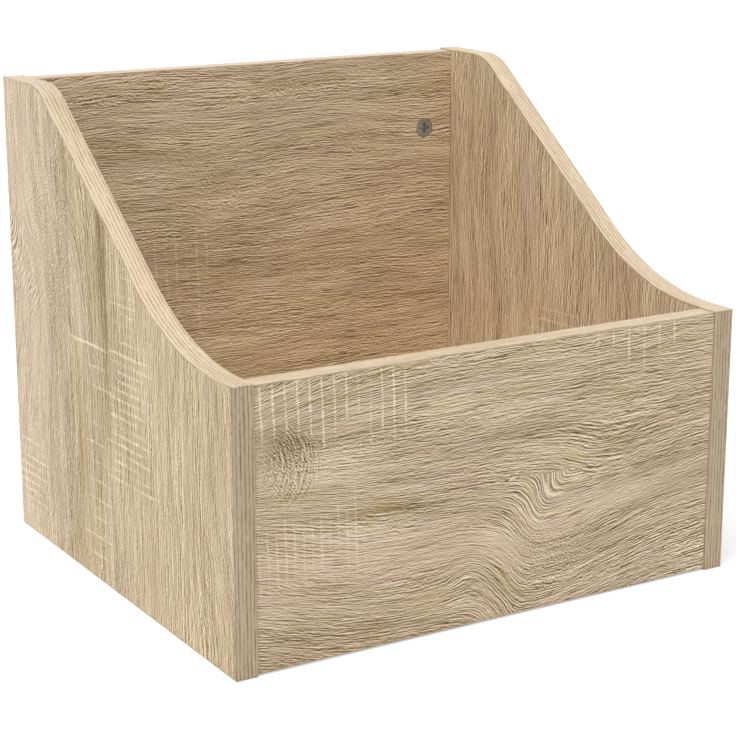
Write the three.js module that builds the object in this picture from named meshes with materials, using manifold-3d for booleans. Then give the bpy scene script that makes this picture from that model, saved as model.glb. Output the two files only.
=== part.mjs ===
// Record storage stand: an open-topped box of wood-decor board. Two side panels sweep down from a
// tall back to a low front. A front, a back and a bottom panel stand between them, and hidden cam
// fittings and dowels hold the corners. Every edge that shows has a thin plastic band.
//
// Millimetres, +Z up, front towards -Y, width along X. The origin is on the floor, under the middle.

import * as THREE from "three";
import { mergeVertices } from "three/addons/utils/BufferGeometryUtils.js";
import Module from "manifold-3d";

const wasm = await Module();
wasm.setup();

// ---------------------------------------------------------------- driving dimensions

// The whole
const width = 375; // over both side panels
const depth = 335; // of a side panel, front edge to back edge
const backHeight = 325; // of a side panel at the back
const frontHeight = 182; // of a side panel at the front
const boardThickness = 15;

// The side panel's upper edge, from the front: level, hollow sweep, straight ramp, round crown, level
const frontFlat = 20;
const sweepRadius = 185;
const crownRadius = 45;
const crownFlat = 45;
const arcDivisions = 12; // an arc has twice as many facets

// Edge bands
const bandThickness = 1;
const glueLine = 0.1; // between a band and what it is glued to
const easedEdge = 0.4; // chamfer along a band's outer edges

// How the inner panels sit between the side panels
const seam = 0.2; // clearance where one board meets the next
const frontSetback = 1; // of the front panel's face behind the side panels' front edges
const backSetback = 1; // of the back panel's face before the side panels' back edges
const topDrop = 1; // of the front and back panels' tops below the side panels' tops
const panelLift = 1; // of the front and back panels above the floor
const bottomLift = 5; // of the bottom panel above the floor

// Cam fitting: a housing in the edge panel pulls on the head of a bolt in the face panel
const camDiameter = 15;
const camFloor = 2.5; // board left behind the housing's bore
const camDistance = 24; // from the face panel to the housing's axis
const camClearance = 0.1; // on the housing's radius
const camSink = 0.3; // of the housing below the board's face, and above its bore's floor
const camChamberDiameter = 8.8;
const camSlotAngle = THREE.MathUtils.degToRad(115); // that the housing turns to lock
const camSlotLead = THREE.MathUtils.degToRad(28); // of slot before the locked bolt
const crossLength = 8;
const crossWidth = 1.4;
const crossDepth = 2.2;
const boltThreadDiameter = 5;
const boltThreadLength = 11;
const boltTipLength = 1.4;
const boltCollarDiameter = 7.4;
const boltCollarLength = 2.6;
const boltShankDiameter = 6;
const boltNeckDiameter = 3.4;
const boltNeckLength = 8.3; // from the shank's end to the middle of the head
const boltHeadDiameter = 6.4;
const boltHeadLength = 3.4;
const headClearance = 0.4; // round the bolt's head and neck in the housing
const edgeBoreDiameter = 8; // for the bolt, in the edge panel's end

// Dowels
const dowelDiameter = 8;
const dowelLength = 30;
const dowelInFace = 9.5; // of the dowel's length in the face panel
const dowelClearance = 0.1; // on the dowel's radius
const dowelChamfer = 0.9;
const boreReserve = 0.5; // of a bore beyond the end of what it holds

// Where the fittings are
const dowelEdgeDistance = 26; // below a front or back panel's top, and above its foot
const camEdgeDistance = 58; // the same, for the back panel's cams
const bottomCamInset = 60; // of the bottom panel's cams from its front and back edges
const bottomDowelInset = 90; // of its front and back dowels from the side panels

// Facets
const boreSides = 12;
const camSides = 24;
const overcut = 1; // of a cutting body past the surface that it opens

// ---------------------------------------------------------------- derived sizes

const bandInset = bandThickness + glueLine; // of a board's core behind its finished edge
const innerFaceX = width / 2 - boardThickness;
const panelLength = 2 * (innerFaceX - seam);
const frontTop = frontHeight - topDrop;
const backTop = backHeight - topDrop;
const frontMiddleY = -depth / 2 + frontSetback + boardThickness / 2;
const backMiddleY = depth / 2 - backSetback - boardThickness / 2;
const frontInnerY = frontMiddleY + boardThickness / 2;
const backInnerY = backMiddleY - boardThickness / 2;
const bottomMiddleZ = bottomLift + boardThickness / 2;
const headSocket = boltHeadDiameter + 2 * headClearance;

// The straight ramp of a side panel's upper edge is tangent to both arcs, which gives its slope.
// Where the heights leave the arcs too little room, the sweep is the one that shrinks.
const run = depth - frontFlat - crownFlat;
const rise = backHeight - frontHeight;
const radiiRoom = (run ** 2 + rise ** 2) / (2 * rise); // the radii's sum that leaves no ramp
const sweep = Math.min(sweepRadius, radiiRoom - crownRadius);
const radiiSum = sweep + crownRadius;
const rampLength = Math.sqrt(Math.max(0, run ** 2 + rise ** 2 - 2 * rise * radiiSum));
const rampSlope = Math.atan2(rise - radiiSum, run) + Math.atan2(radiiSum, rampLength);
const sweepCentre = new THREE.Vector2(frontFlat, frontHeight + sweep);
const crownCentre = new THREE.Vector2(depth - crownFlat, backHeight - crownRadius);

// ---------------------------------------------------------------- materials

const decorBoard = new THREE.MeshStandardMaterial({ color: 0xcbb596, roughness: 0.6 });
const edgeBand = new THREE.MeshStandardMaterial({ color: 0xd9c3a3, roughness: 0.55 });
const beech = new THREE.MeshStandardMaterial({ color: 0xd8b98a, roughness: 0.8 });
const dieCastZinc = new THREE.MeshStandardMaterial({
  color: 0xa9abad,
  roughness: 0.45,
  metalness: 1,
});
const platedSteel = new THREE.MeshStandardMaterial({
  color: 0xc4c3bd,
  roughness: 0.3,
  metalness: 1,
});

// ---------------------------------------------------------------- solids

const vertexMerge = 1e-4;

// A geometry as a closed solid, moved by a matrix.
function solidOf(geometry, matrix = new THREE.Matrix4()) {
  const bare = geometry.clone();
  bare.deleteAttribute("normal");
  bare.deleteAttribute("uv");
  bare.applyMatrix4(matrix);
  const merged = mergeVertices(bare, vertexMerge);
  return new wasm.Manifold(
    new wasm.Mesh({
      numProp: 3,
      vertProperties: merged.attributes.position.array,
      triVerts: new Uint32Array(merged.index.array),
    }),
  );
}

function geometryOf(solid) {
  const { vertProperties, triVerts } = solid.getMesh();
  const geometry = new THREE.BufferGeometry();
  geometry.setAttribute("position", new THREE.BufferAttribute(vertProperties, 3));
  geometry.setIndex(new THREE.BufferAttribute(triVerts, 1));
  geometry.computeVertexNormals();
  return geometry;
}

function add(parent, name, geometry, material) {
  const mesh = new THREE.Mesh(geometry, material);
  mesh.name = name;
  parent.add(mesh);
  return mesh;
}

function extrude(shape, length) {
  return new THREE.ExtrudeGeometry(shape, {
    depth: length,
    bevelEnabled: false,
    curveSegments: arcDivisions,
  });
}

function rectangle(left, low, right, high) {
  const corners = [
    [left, low],
    [right, low],
    [right, high],
    [left, high],
  ];
  return new THREE.Shape(corners.map(([x, y]) => new THREE.Vector2(x, y)));
}

// Panels are drawn as seen from the side, with x to the back, y up and z across the stand. This
// turn takes x, y, z to Y, Z, X of the stand.
const sideView = new THREE.Quaternion(0.5, 0.5, 0.5, 0.5);

function sideViewGroup(parent, x, y, z) {
  const group = new THREE.Group();
  group.quaternion.copy(sideView);
  group.position.set(x, y, z);
  parent.add(group);
  return group;
}

// ---------------------------------------------------------------- side panels

// The curved upper edge from front to back, or back to front, with `inset` taken off it.
function traceForward(path, inset) {
  const { x, y } = sweepCentre;
  path.absarc(x, y, sweep + inset, -Math.PI / 2, rampSlope - Math.PI / 2, false);
  path.absarc(
    crownCentre.x,
    crownCentre.y,
    crownRadius - inset,
    rampSlope + Math.PI / 2,
    Math.PI / 2,
    true,
  );
}

function traceBackward(path, inset) {
  const { x, y } = crownCentre;
  path.absarc(x, y, crownRadius - inset, Math.PI / 2, rampSlope + Math.PI / 2, false);
  path.absarc(
    sweepCentre.x,
    sweepCentre.y,
    sweep + inset,
    rampSlope - Math.PI / 2,
    -Math.PI / 2,
    true,
  );
}

// A side panel's outline, `inset` inside its finished edges.
function sideOutline(inset) {
  const shape = new THREE.Shape();
  shape.moveTo(inset, inset);
  shape.lineTo(inset, frontHeight - inset);
  traceForward(shape, inset);
  shape.lineTo(depth - inset, backHeight - inset);
  shape.lineTo(depth - inset, inset);
  return shape;
}

// The finished panel with its outer edges eased: the space that its bands are part of.
function easedSide() {
  const geometry = new THREE.ExtrudeGeometry(sideOutline(0), {
    depth: boardThickness - 2 * easedEdge,
    bevelEnabled: true,
    bevelThickness: easedEdge,
    bevelSize: easedEdge,
    bevelOffset: -easedEdge,
    bevelSegments: 1,
    curveSegments: arcDivisions,
  });
  return geometry.translate(0, 0, easedEdge);
}

// The stretch of a side panel's rim that its one-piece top band takes up, open outwards.
function topBandZone() {
  const shape = new THREE.Shape();
  shape.moveTo(-overcut, frontHeight + overcut);
  traceForward(shape, -overcut);
  shape.lineTo(depth + overcut, backHeight + overcut);
  shape.lineTo(depth + overcut, backHeight - bandThickness);
  traceBackward(shape, bandThickness);
  shape.lineTo(-overcut, frontHeight - bandThickness);
  return shape;
}

// The front or back band stands between the bottom band and the top band.
function uprightBandZone(left, right, height) {
  return rectangle(left, bandInset, right, height - bandInset);
}

function sideBandZones() {
  const end = depth + overcut;
  return {
    top_band: topBandZone(),
    front_band: uprightBandZone(-overcut, bandThickness, frontHeight),
    back_band: uprightBandZone(depth - bandThickness, end, backHeight),
    bottom_band: rectangle(-overcut, -overcut, end, bandThickness),
  };
}

function sidePanel(parent, side, outerX) {
  const group = sideViewGroup(parent, outerX, -depth / 2, 0);
  const finished = solidOf(easedSide());
  for (const [kind, zone] of Object.entries(sideBandZones())) {
    const slab = extrude(zone, boardThickness + 2 * overcut).translate(0, 0, -overcut);
    const band = finished.intersect(solidOf(slab));
    add(group, `${side}_side_${kind}`, geometryOf(band), edgeBand);
  }
  const core = extrude(sideOutline(bandInset), boardThickness);
  return add(group, `${side}_side_panel`, core, decorBoard);
}

// ---------------------------------------------------------------- front, back and bottom panels

// A straight band, seen along its length, with its outer side up.
function stripOutline() {
  const half = boardThickness / 2;
  const outline = [
    [-half, 0],
    [half, 0],
    [half, bandThickness - easedEdge],
    [half - easedEdge, bandThickness],
    [easedEdge - half, bandThickness],
    [-half, bandThickness - easedEdge],
  ];
  return new THREE.Shape(outline.map(([x, y]) => new THREE.Vector2(x, y)));
}

// A panel on edge across the stand, from `panelLift` up to `top`, with a band above and below.
function uprightPanel(parent, name, middleY, top) {
  const group = sideViewGroup(parent, -panelLength / 2, middleY, panelLift);
  const height = top - panelLift;
  const half = boardThickness / 2;
  const strip = extrude(stripOutline(), panelLength);

  const topBand = add(group, `${name}_top_band`, strip, edgeBand);
  topBand.position.y = height - bandThickness;

  const bottomBand = add(group, `${name}_bottom_band`, strip, edgeBand);
  bottomBand.rotation.z = Math.PI;
  bottomBand.position.y = bandThickness;

  const core = rectangle(-half, bandInset, half, height - bandInset);
  return add(group, name, extrude(core, panelLength), decorBoard);
}

// The bottom panel's edges are all hidden, so it has no bands.
function bottomPanel(parent) {
  const group = sideViewGroup(parent, -panelLength / 2, 0, bottomLift);
  const board = rectangle(frontInnerY + seam, 0, backInnerY - seam, boardThickness);
  return add(group, "bottom_panel", extrude(board, panelLength), decorBoard);
}

// ---------------------------------------------------------------- fittings

// A fitting joins a face panel to the end of an edge panel. Its own frame starts on the face
// panel, in the middle of the edge panel's thickness: z runs into the edge panel, and x points
// to the face of the edge panel that the cam housing is set into.
function fittingFrame(parent, origin, along, mouth) {
  const group = new THREE.Group();
  const across = new THREE.Vector3().crossVectors(along, mouth);
  const basis = new THREE.Matrix4().makeBasis(mouth, across, along);
  group.quaternion.setFromRotationMatrix(basis);
  group.position.copy(origin);
  parent.add(group);
  return group;
}

// A turned piece about z, from a list of [radius, z].
function turned(profile) {
  const points = profile.map(([radius, z]) => new THREE.Vector2(radius, z));
  return new THREE.LatheGeometry(points, boreSides).rotateX(Math.PI / 2);
}

// A plain bore about z.
function bore(diameter, from, to) {
  const radius = diameter / 2;
  return turned([
    [0, from],
    [radius, from],
    [radius, to],
    [0, to],
  ]);
}

// A cylinder about the housing's own axis, which is x. Its facets have the same places on the
// housing and on its bore.
function camCylinder(diameter, from, to) {
  const radius = diameter / 2;
  const cylinder = new THREE.CylinderGeometry(radius, radius, to - from, camSides);
  return cylinder.rotateZ(-Math.PI / 2).translate((from + to) / 2, 0, 0);
}

function camBolt() {
  const thread = boltThreadDiameter / 2 - camClearance;
  const collar = boltCollarDiameter / 2;
  const shank = boltShankDiameter / 2;
  const neck = boltNeckDiameter / 2;
  const head = boltHeadDiameter / 2;
  const headStart = camDistance - boltHeadLength / 2;
  const headEnd = camDistance + boltHeadLength / 2;
  const headTaper = head - neck;
  const shankEnd = camDistance - boltNeckLength;
  return turned([
    [0, -boltThreadLength],
    [thread - boltTipLength / 2, -boltThreadLength],
    [thread, boltTipLength - boltThreadLength],
    [thread, seam],
    [collar, seam],
    [collar, boltCollarLength],
    [shank, boltCollarLength],
    [shank, shankEnd - boltTipLength],
    [neck, shankEnd],
    [neck, headStart],
    [head, headStart],
    [head, headEnd - headTaper / 2],
    [neck, headEnd],
    [0, headEnd],
  ]);
}

// The slot that the bolt's neck runs in as the housing turns: a sector of a ring about x. Angles
// start at the bolt.
function neckSlot() {
  const slotWidth = boltNeckDiameter + 2 * headClearance;
  const inner = camChamberDiameter / 2 - overcut;
  const outer = camDiameter / 2 + overcut;
  const shape = new THREE.Shape();
  shape.absarc(0, 0, outer, -camSlotLead, camSlotAngle, false);
  shape.absarc(0, 0, inner, camSlotAngle, -camSlotLead, true);
  return extrude(shape, slotWidth)
    .translate(0, 0, -slotWidth / 2)
    .rotateY(Math.PI / 2);
}

// The wide end of the slot, where the bolt's head goes in.
function headMouth() {
  const reach = camDiameter / 2 + overcut;
  return new THREE.BoxGeometry(reach, headSocket, headSocket)
    .translate(reach / 2, 0, 0)
    .rotateZ(camSlotAngle)
    .rotateY(Math.PI / 2);
}

// The driver's cross in the housing's face.
function crossBar(face, length, width) {
  return new THREE.BoxGeometry(2 * crossDepth, length, width).translate(face, 0, 0);
}

function camHousing() {
  const face = boardThickness / 2 - camSink;
  const foot = camFloor + camSink - boardThickness / 2;
  const body = camCylinder(camDiameter - 2 * camClearance, foot, face);
  const cuts = [
    camCylinder(camChamberDiameter, -headSocket / 2, headSocket / 2),
    neckSlot(),
    headMouth(),
    crossBar(face, crossLength, crossWidth),
    crossBar(face, crossWidth, crossLength),
  ];
  const housing = cuts.reduce((solid, cut) => solid.subtract(solidOf(cut)), solidOf(body));
  return geometryOf(housing).translate(0, 0, camDistance);
}

const camHousingGeometry = camHousing();
const camBoltGeometry = camBolt();
const edgeBore = bore(edgeBoreDiameter, -overcut, camDistance);
const threadBore = bore(boltThreadDiameter, -boltThreadLength - boreReserve, overcut);
const camBore = camCylinder(
  camDiameter,
  camFloor - boardThickness / 2,
  boardThickness / 2 + overcut,
).translate(0, 0, camDistance);

// A cam and its bolt, and the bores that they need in the two panels.
function camFitting(parent, name, facePanel, edgePanel, origin, along, mouth) {
  const frame = fittingFrame(parent, origin, along, mouth);
  add(frame, `${name}_cam`, camHousingGeometry, dieCastZinc);
  add(frame, `${name}_cam_bolt`, camBoltGeometry, platedSteel);
  drill(facePanel, frame, threadBore);
  drill(edgePanel, frame, edgeBore);
  drill(edgePanel, frame, camBore);
}

const dowelEnd = dowelLength - dowelInFace;

function dowel() {
  const radius = dowelDiameter / 2 - dowelClearance;
  return turned([
    [0, -dowelInFace],
    [radius - dowelChamfer, -dowelInFace],
    [radius, dowelChamfer - dowelInFace],
    [radius, dowelEnd - dowelChamfer],
    [radius - dowelChamfer, dowelEnd],
    [0, dowelEnd],
  ]);
}

const dowelGeometry = dowel();
const dowelFaceBore = bore(dowelDiameter, -dowelInFace - boreReserve, overcut);
const dowelEdgeBore = bore(dowelDiameter, -overcut, dowelEnd + boreReserve);

function dowelFitting(parent, name, facePanel, edgePanel, origin, along, mouth) {
  const frame = fittingFrame(parent, origin, along, mouth);
  add(frame, `${name}_dowel`, dowelGeometry, beech);
  drill(facePanel, frame, dowelFaceBore);
  drill(edgePanel, frame, dowelEdgeBore);
}

// Cuts a bore, given in a fitting's frame, out of a panel.
function drill(panel, frame, cutter) {
  panel.updateWorldMatrix(true, false);
  frame.updateWorldMatrix(true, false);
  const toPanel = panel.matrixWorld.clone().invert().multiply(frame.matrixWorld);
  const cut = solidOf(panel.geometry).subtract(solidOf(cutter, toPanel));
  panel.geometry = geometryOf(cut);
}

// ---------------------------------------------------------------- assembly

const toRight = new THREE.Vector3(1, 0, 0);
const toLeft = new THREE.Vector3(-1, 0, 0);
const toBack = new THREE.Vector3(0, 1, 0);
const toFront = new THREE.Vector3(0, -1, 0);
const down = new THREE.Vector3(0, 0, -1);

const stand = new THREE.Group();
stand.name = "record_storage_stand";

const leftSide = sidePanel(stand, "left", -width / 2);
const rightSide = sidePanel(stand, "right", innerFaceX);
const front = uprightPanel(stand, "front_panel", frontMiddleY, frontTop);
const back = uprightPanel(stand, "back_panel", backMiddleY, backTop);
const bottom = bottomPanel(stand);

// The fittings that fix the ends of the three inner panels to one side panel.
function fixToSide(side, sideBoard, x, along) {
  const at = (y, z) => new THREE.Vector3(x, y, z);
  const low = panelLift + dowelEdgeDistance;
  const cam = (name, edge, origin, mouth) =>
    camFitting(stand, name, sideBoard, edge, origin, along, mouth);
  const pin = (name, edge, origin, mouth) =>
    dowelFitting(stand, name, sideBoard, edge, origin, along, mouth);

  cam(`front_${side}`, front, at(frontMiddleY, (panelLift + frontTop) / 2), toBack);
  pin(`front_${side}_lower`, front, at(frontMiddleY, low), toBack);
  pin(`front_${side}_upper`, front, at(frontMiddleY, frontTop - dowelEdgeDistance), toBack);

  cam(`back_${side}_lower`, back, at(backMiddleY, panelLift + camEdgeDistance), toFront);
  cam(`back_${side}_upper`, back, at(backMiddleY, backTop - camEdgeDistance), toFront);
  pin(`back_${side}_lower`, back, at(backMiddleY, low), toFront);
  pin(`back_${side}_upper`, back, at(backMiddleY, backTop - dowelEdgeDistance), toFront);

  const bottomMiddleY = (frontInnerY + backInnerY) / 2;
  cam(`bottom_${side}_front`, bottom, at(frontInnerY + bottomCamInset, bottomMiddleZ), down);
  cam(`bottom_${side}_back`, bottom, at(backInnerY - bottomCamInset, bottomMiddleZ), down);
  pin(`bottom_${side}`, bottom, at(bottomMiddleY, bottomMiddleZ), down);
}

fixToSide("left", leftSide, -innerFaceX, toRight);
fixToSide("right", rightSide, innerFaceX, toLeft);

// Dowels alone hold the bottom panel's front and back edges.
for (const [side, sign] of [
  ["left", -1],
  ["right", 1],
]) {
  const x = sign * (innerFaceX - bottomDowelInset);
  const atFront = new THREE.Vector3(x, frontInnerY, bottomMiddleZ);
  const atBack = new THREE.Vector3(x, backInnerY, bottomMiddleZ);
  dowelFitting(stand, `bottom_front_${side}`, front, bottom, atFront, toBack, down);
  dowelFitting(stand, `bottom_back_${side}`, back, bottom, atBack, toFront, down);
}

export default stand;
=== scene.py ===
"""The visual model of a record storage stand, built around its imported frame.

The stand is an open-topped box of 15 mm board with a printed oak decor. Its two side panels sweep
down in an S from the back to the front, and every edge that shows has a thin plastic band. Cam
fittings and dowels hold the corners. Sizes in the formulas are millimetres; meshes are in metres,
in the frame's own axes: +Z up, front towards -Y, width along X, origin on the floor.
"""

import math

import bpy
import numpy as np
from bpy.props import FloatProperty, FloatVectorProperty, IntProperty, PointerProperty
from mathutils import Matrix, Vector


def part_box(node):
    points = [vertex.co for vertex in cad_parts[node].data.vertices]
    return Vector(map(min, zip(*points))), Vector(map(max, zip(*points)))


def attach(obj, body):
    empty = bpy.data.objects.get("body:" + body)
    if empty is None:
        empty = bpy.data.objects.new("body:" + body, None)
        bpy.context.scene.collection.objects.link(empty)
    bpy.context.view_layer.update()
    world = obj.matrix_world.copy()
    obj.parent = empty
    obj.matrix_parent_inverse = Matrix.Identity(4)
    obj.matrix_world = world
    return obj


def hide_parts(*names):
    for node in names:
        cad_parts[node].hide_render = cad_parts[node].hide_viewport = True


bl_info = {
    "name": "Record storage stand",
    "version": (1, 0, 0),
    "blender": (4, 5, 0),
    "location": "View3D > Sidebar > Stand",
    "description": "Dresses the packed stand: decor boards, edge bands, cam fittings, dowels, stage",
    "category": "Object",
}

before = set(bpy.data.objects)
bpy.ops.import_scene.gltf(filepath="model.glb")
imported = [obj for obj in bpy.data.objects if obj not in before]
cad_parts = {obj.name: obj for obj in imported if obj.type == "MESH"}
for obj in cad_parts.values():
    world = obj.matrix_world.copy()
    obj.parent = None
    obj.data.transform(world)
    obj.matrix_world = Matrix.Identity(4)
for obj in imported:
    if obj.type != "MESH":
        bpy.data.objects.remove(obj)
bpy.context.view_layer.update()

MM = 0.001

# The side panel's outline, as in the part's source, in millimetres
DEPTH = 335.0
BACK_HEIGHT = 325.0
FRONT_HEIGHT = 182.0
BOARD = 15.0
FRONT_FLAT = 20.0
SWEEP_RADIUS = 185.0
CROWN_RADIUS = 45.0
CROWN_FLAT = 45.0
BAND = 1.0
# A side panel's front and back bands stop this far from its foot and from its upper edge
BAND_STOP = 1.1

# Each fitting's two ends along its own axis, from the face between two boards for a bolt and a
# dowel, and from the bolt's middle line for a housing
HOUSING_FOOT, HOUSING_FACE = -4.7, 7.2
BOLT_TIP, BOLT_END = -11.0, 25.7
DOWEL_FOOT, DOWEL_TIP = -9.5, 20.5


# ---------------------------------------------------------------- colours


def linear(red, green, blue):
    """An sRGB colour given from 0 to 255, as the linear colour, with alpha, that a shader takes."""
    c = np.array([red, green, blue]) / 255.0
    c = np.where(c <= 0.04045, c / 12.92, ((c + 0.055) / 1.055) ** 2.4)
    return (*c.tolist(), 1.0)


# ---------------------------------------------------------------- shader sums


class Wire:
    """A shader value. An expression on wires and numbers adds the Math nodes that it needs."""

    def __init__(self, pattern, socket):
        self.pattern = pattern
        self.socket = socket

    def math(self, operation, *terms):
        """A Math node on the terms, each a wire or a number."""
        return self.pattern.wire("ShaderNodeMath", {"operation": operation}, dict(enumerate(terms)))

    def least(self, other):
        """The smaller of this and another."""
        return self.math("MINIMUM", self, other)

    def most(self, other):
        """The greater of this and another."""
        return self.math("MAXIMUM", self, other)

    def zigzag(self, reach):
        """Runs up from 0 to `reach` and down again, over and over."""
        return self.math("PINGPONG", self, reach)

    def __add__(self, other):
        return self.math("ADD", self, other)

    __radd__ = __add__

    def __sub__(self, other):
        return self.math("SUBTRACT", self, other)

    def __rsub__(self, other):
        return self.math("SUBTRACT", other, self)

    def __mul__(self, other):
        return self.math("MULTIPLY", self, other)

    __rmul__ = __mul__

    def __truediv__(self, other):
        return self.math("DIVIDE", self, other)

    def __rtruediv__(self, other):
        return self.math("DIVIDE", other, self)

    def __pow__(self, other):
        return self.math("POWER", self, other)

    def __neg__(self):
        return self.math("MULTIPLY", self, -1.0)

    def __abs__(self):
        return self.math("ABSOLUTE", self)


class Pattern:
    """The node tree of a material or a world, and the one method that adds its nodes."""

    def __init__(self, owner):
        self.owner = owner
        owner.use_nodes = True
        self.tree = owner.node_tree
        self.tree.nodes.clear()

    def node(self, kind, settings=None, sockets=None):
        """Adds a node. Its settings and ramp stops are set first, then its sockets' values or links."""
        node = self.tree.nodes.new(kind)
        for key, value in (settings or {}).items():
            if key == "stops":
                ramp = node.color_ramp.elements
                while len(ramp) < len(value):
                    ramp.new(0.5)
                for element, (place, colour) in zip(ramp, value):
                    element.position = place
                    element.color = colour
            else:
                setattr(node, key, value)
        for key, value in (sockets or {}).items():
            if isinstance(value, Wire):
                self.tree.links.new(value.socket, node.inputs[key])
            else:
                node.inputs[key].default_value = value
        return node

    def wire(self, kind, settings=None, sockets=None, out=0):
        """Adds a node and gives one of its outputs."""
        return Wire(self, self.node(kind, settings, sockets).outputs[out])

    # ---- values

    def split(self, vector):
        """A vector's three values."""
        node = self.node("ShaderNodeSeparateXYZ", None, {0: vector})
        return [Wire(self, o) for o in node.outputs]

    def place(self):
        """Object coordinates, in millimetres."""
        coordinates = self.wire("ShaderNodeTexCoord", out="Object")
        return [axis / MM for axis in self.split(coordinates)]

    def join(self, x, y, z):
        """The vector of three values."""
        return self.wire("ShaderNodeCombineXYZ", None, {0: x, 1: y, 2: z})

    def noise(self, x, y, z, detail=0.0, rough=0.5):
        """Noise about 0, mostly within 0.25 either side, one lump for each unit of x, y and z."""
        sockets = {"Vector": self.join(x, y, z), "Scale": 1.0, "Detail": detail, "Roughness": rough}
        return self.wire("ShaderNodeTexNoise", None, sockets) - 0.5

    def ease(self, value, low, high):
        """0 below low, 1 above high, and a smooth step between them."""
        settings = {"interpolation_type": "SMOOTHSTEP"}
        return self.wire("ShaderNodeMapRange", settings, {0: value, 1: low, 2: high})

    def bell(self, value, middle, reach):
        """1 at the middle, falling to a quarter at `reach` from it, as 1 / (1 + x^2)^2."""
        x = (value - middle) / reach
        return 1.0 / (1.0 + x * x) ** 2.0

    # ---- colours

    def mix(self, factor, first, second):
        """The first colour at a factor of 0 and the second at 1."""
        sockets = {0: factor, 6: first, 7: second}
        return self.wire("ShaderNodeMix", {"data_type": "RGBA"}, sockets, out=2)

    def ramp(self, value, stops):
        """The colour at a value, from stops of a place and a colour."""
        return self.wire("ShaderNodeValToRGB", {"stops": stops}, {0: value})

    # ---- the end of the tree

    def relief(self, height, depth):
        """The surface's normal under a relief of `depth` millimetres."""
        sockets = {"Height": height, "Distance": depth * MM, "Strength": 1.0}
        return self.wire("ShaderNodeBump", None, sockets)

    def finish(self, colour, roughness, normal, **fixed):
        """The finished material. `fixed` holds the shader's values that are the same all over."""
        sockets = {"Base Color": colour, "Roughness": roughness, "Normal": normal}
        sockets.update({k.replace("_", " "): v for k, v in fixed.items()})
        shader = self.wire("ShaderNodeBsdfPrincipled", None, sockets)
        self.node("ShaderNodeOutputMaterial", None, {"Surface": shader})
        return self.owner


def new_pattern(name):
    """The pattern of a new material."""
    return Pattern(bpy.data.materials.new(name))


# ---------------------------------------------------------------- oak decor


def lopsided_bell(p, value, middle, before, after):
    """A bell that reaches `before` on its low side and `after` on its high side."""
    x = value - middle
    x = x.least(0.0) / before + x.most(0.0) / after
    return 1.0 / (1.0 + x * x) ** 2.0


def saw_marks(p, along, across, layer, patches):
    """Bright lines over the grain, one saw tooth's pitch apart, worn away in places.

    Each patch is its first and last line's place along the grain, the lines' two ends over it,
    their pitch, how bright they are and half their breadth, all lengths in millimetres.
    """
    sway = along + 0.9 * p.noise(across / 16.0, along / 30.0, layer + 2.0)
    uneven = 1.6 * p.noise(across / 9.0, along / 6.0, layer + 3.0)
    fade = p.noise(along / 4.0, across / 30.0, layer) * 60.0
    gain = p.ease(p.noise(along / 4.5, across / 50.0, layer + 6.0), -0.20, 0.16)
    worn = gain * p.ease(p.noise(along / 3.0, across / 1.6, layer + 1.0, 1.0), -0.20, 0.10)
    wear = 0.2 + 0.8 * worn
    total = 0.0
    for first, last, low, high, pitch, amount, breadth in patches:
        bent = sway - first + 0.035 * (across - (low + high) / 2)
        off = bent.zigzag(pitch / 2)
        line = 1.0 - p.ease(off, 0.12 * breadth, breadth + uneven)
        patch = (
            p.ease(along, first - 3.0, first - 1.0)
            * p.ease(-along, -last - 1.0, -last + 2.0)
            * p.ease(across + fade, low - 8.0, low + 12.0)
            * p.ease(-across + fade, -high - 12.0, -high + 8.0)
        )
        total = total + line * patch * wear * amount
    return total


def streaks_with_painted_relief_light(p, run, row, layer):
    """Strokes along `run`: noise, less the same noise half a lump further over `row`. Each stroke gets
    a painted lit side and a painted shaded side, as an embossed ridge under a lamp, over the grain's
    own tone.
    """
    return p.noise(run, row, layer, 1.0, 0.65) - p.noise(run, row + 0.5, layer, 1.0, 0.65)


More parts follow.
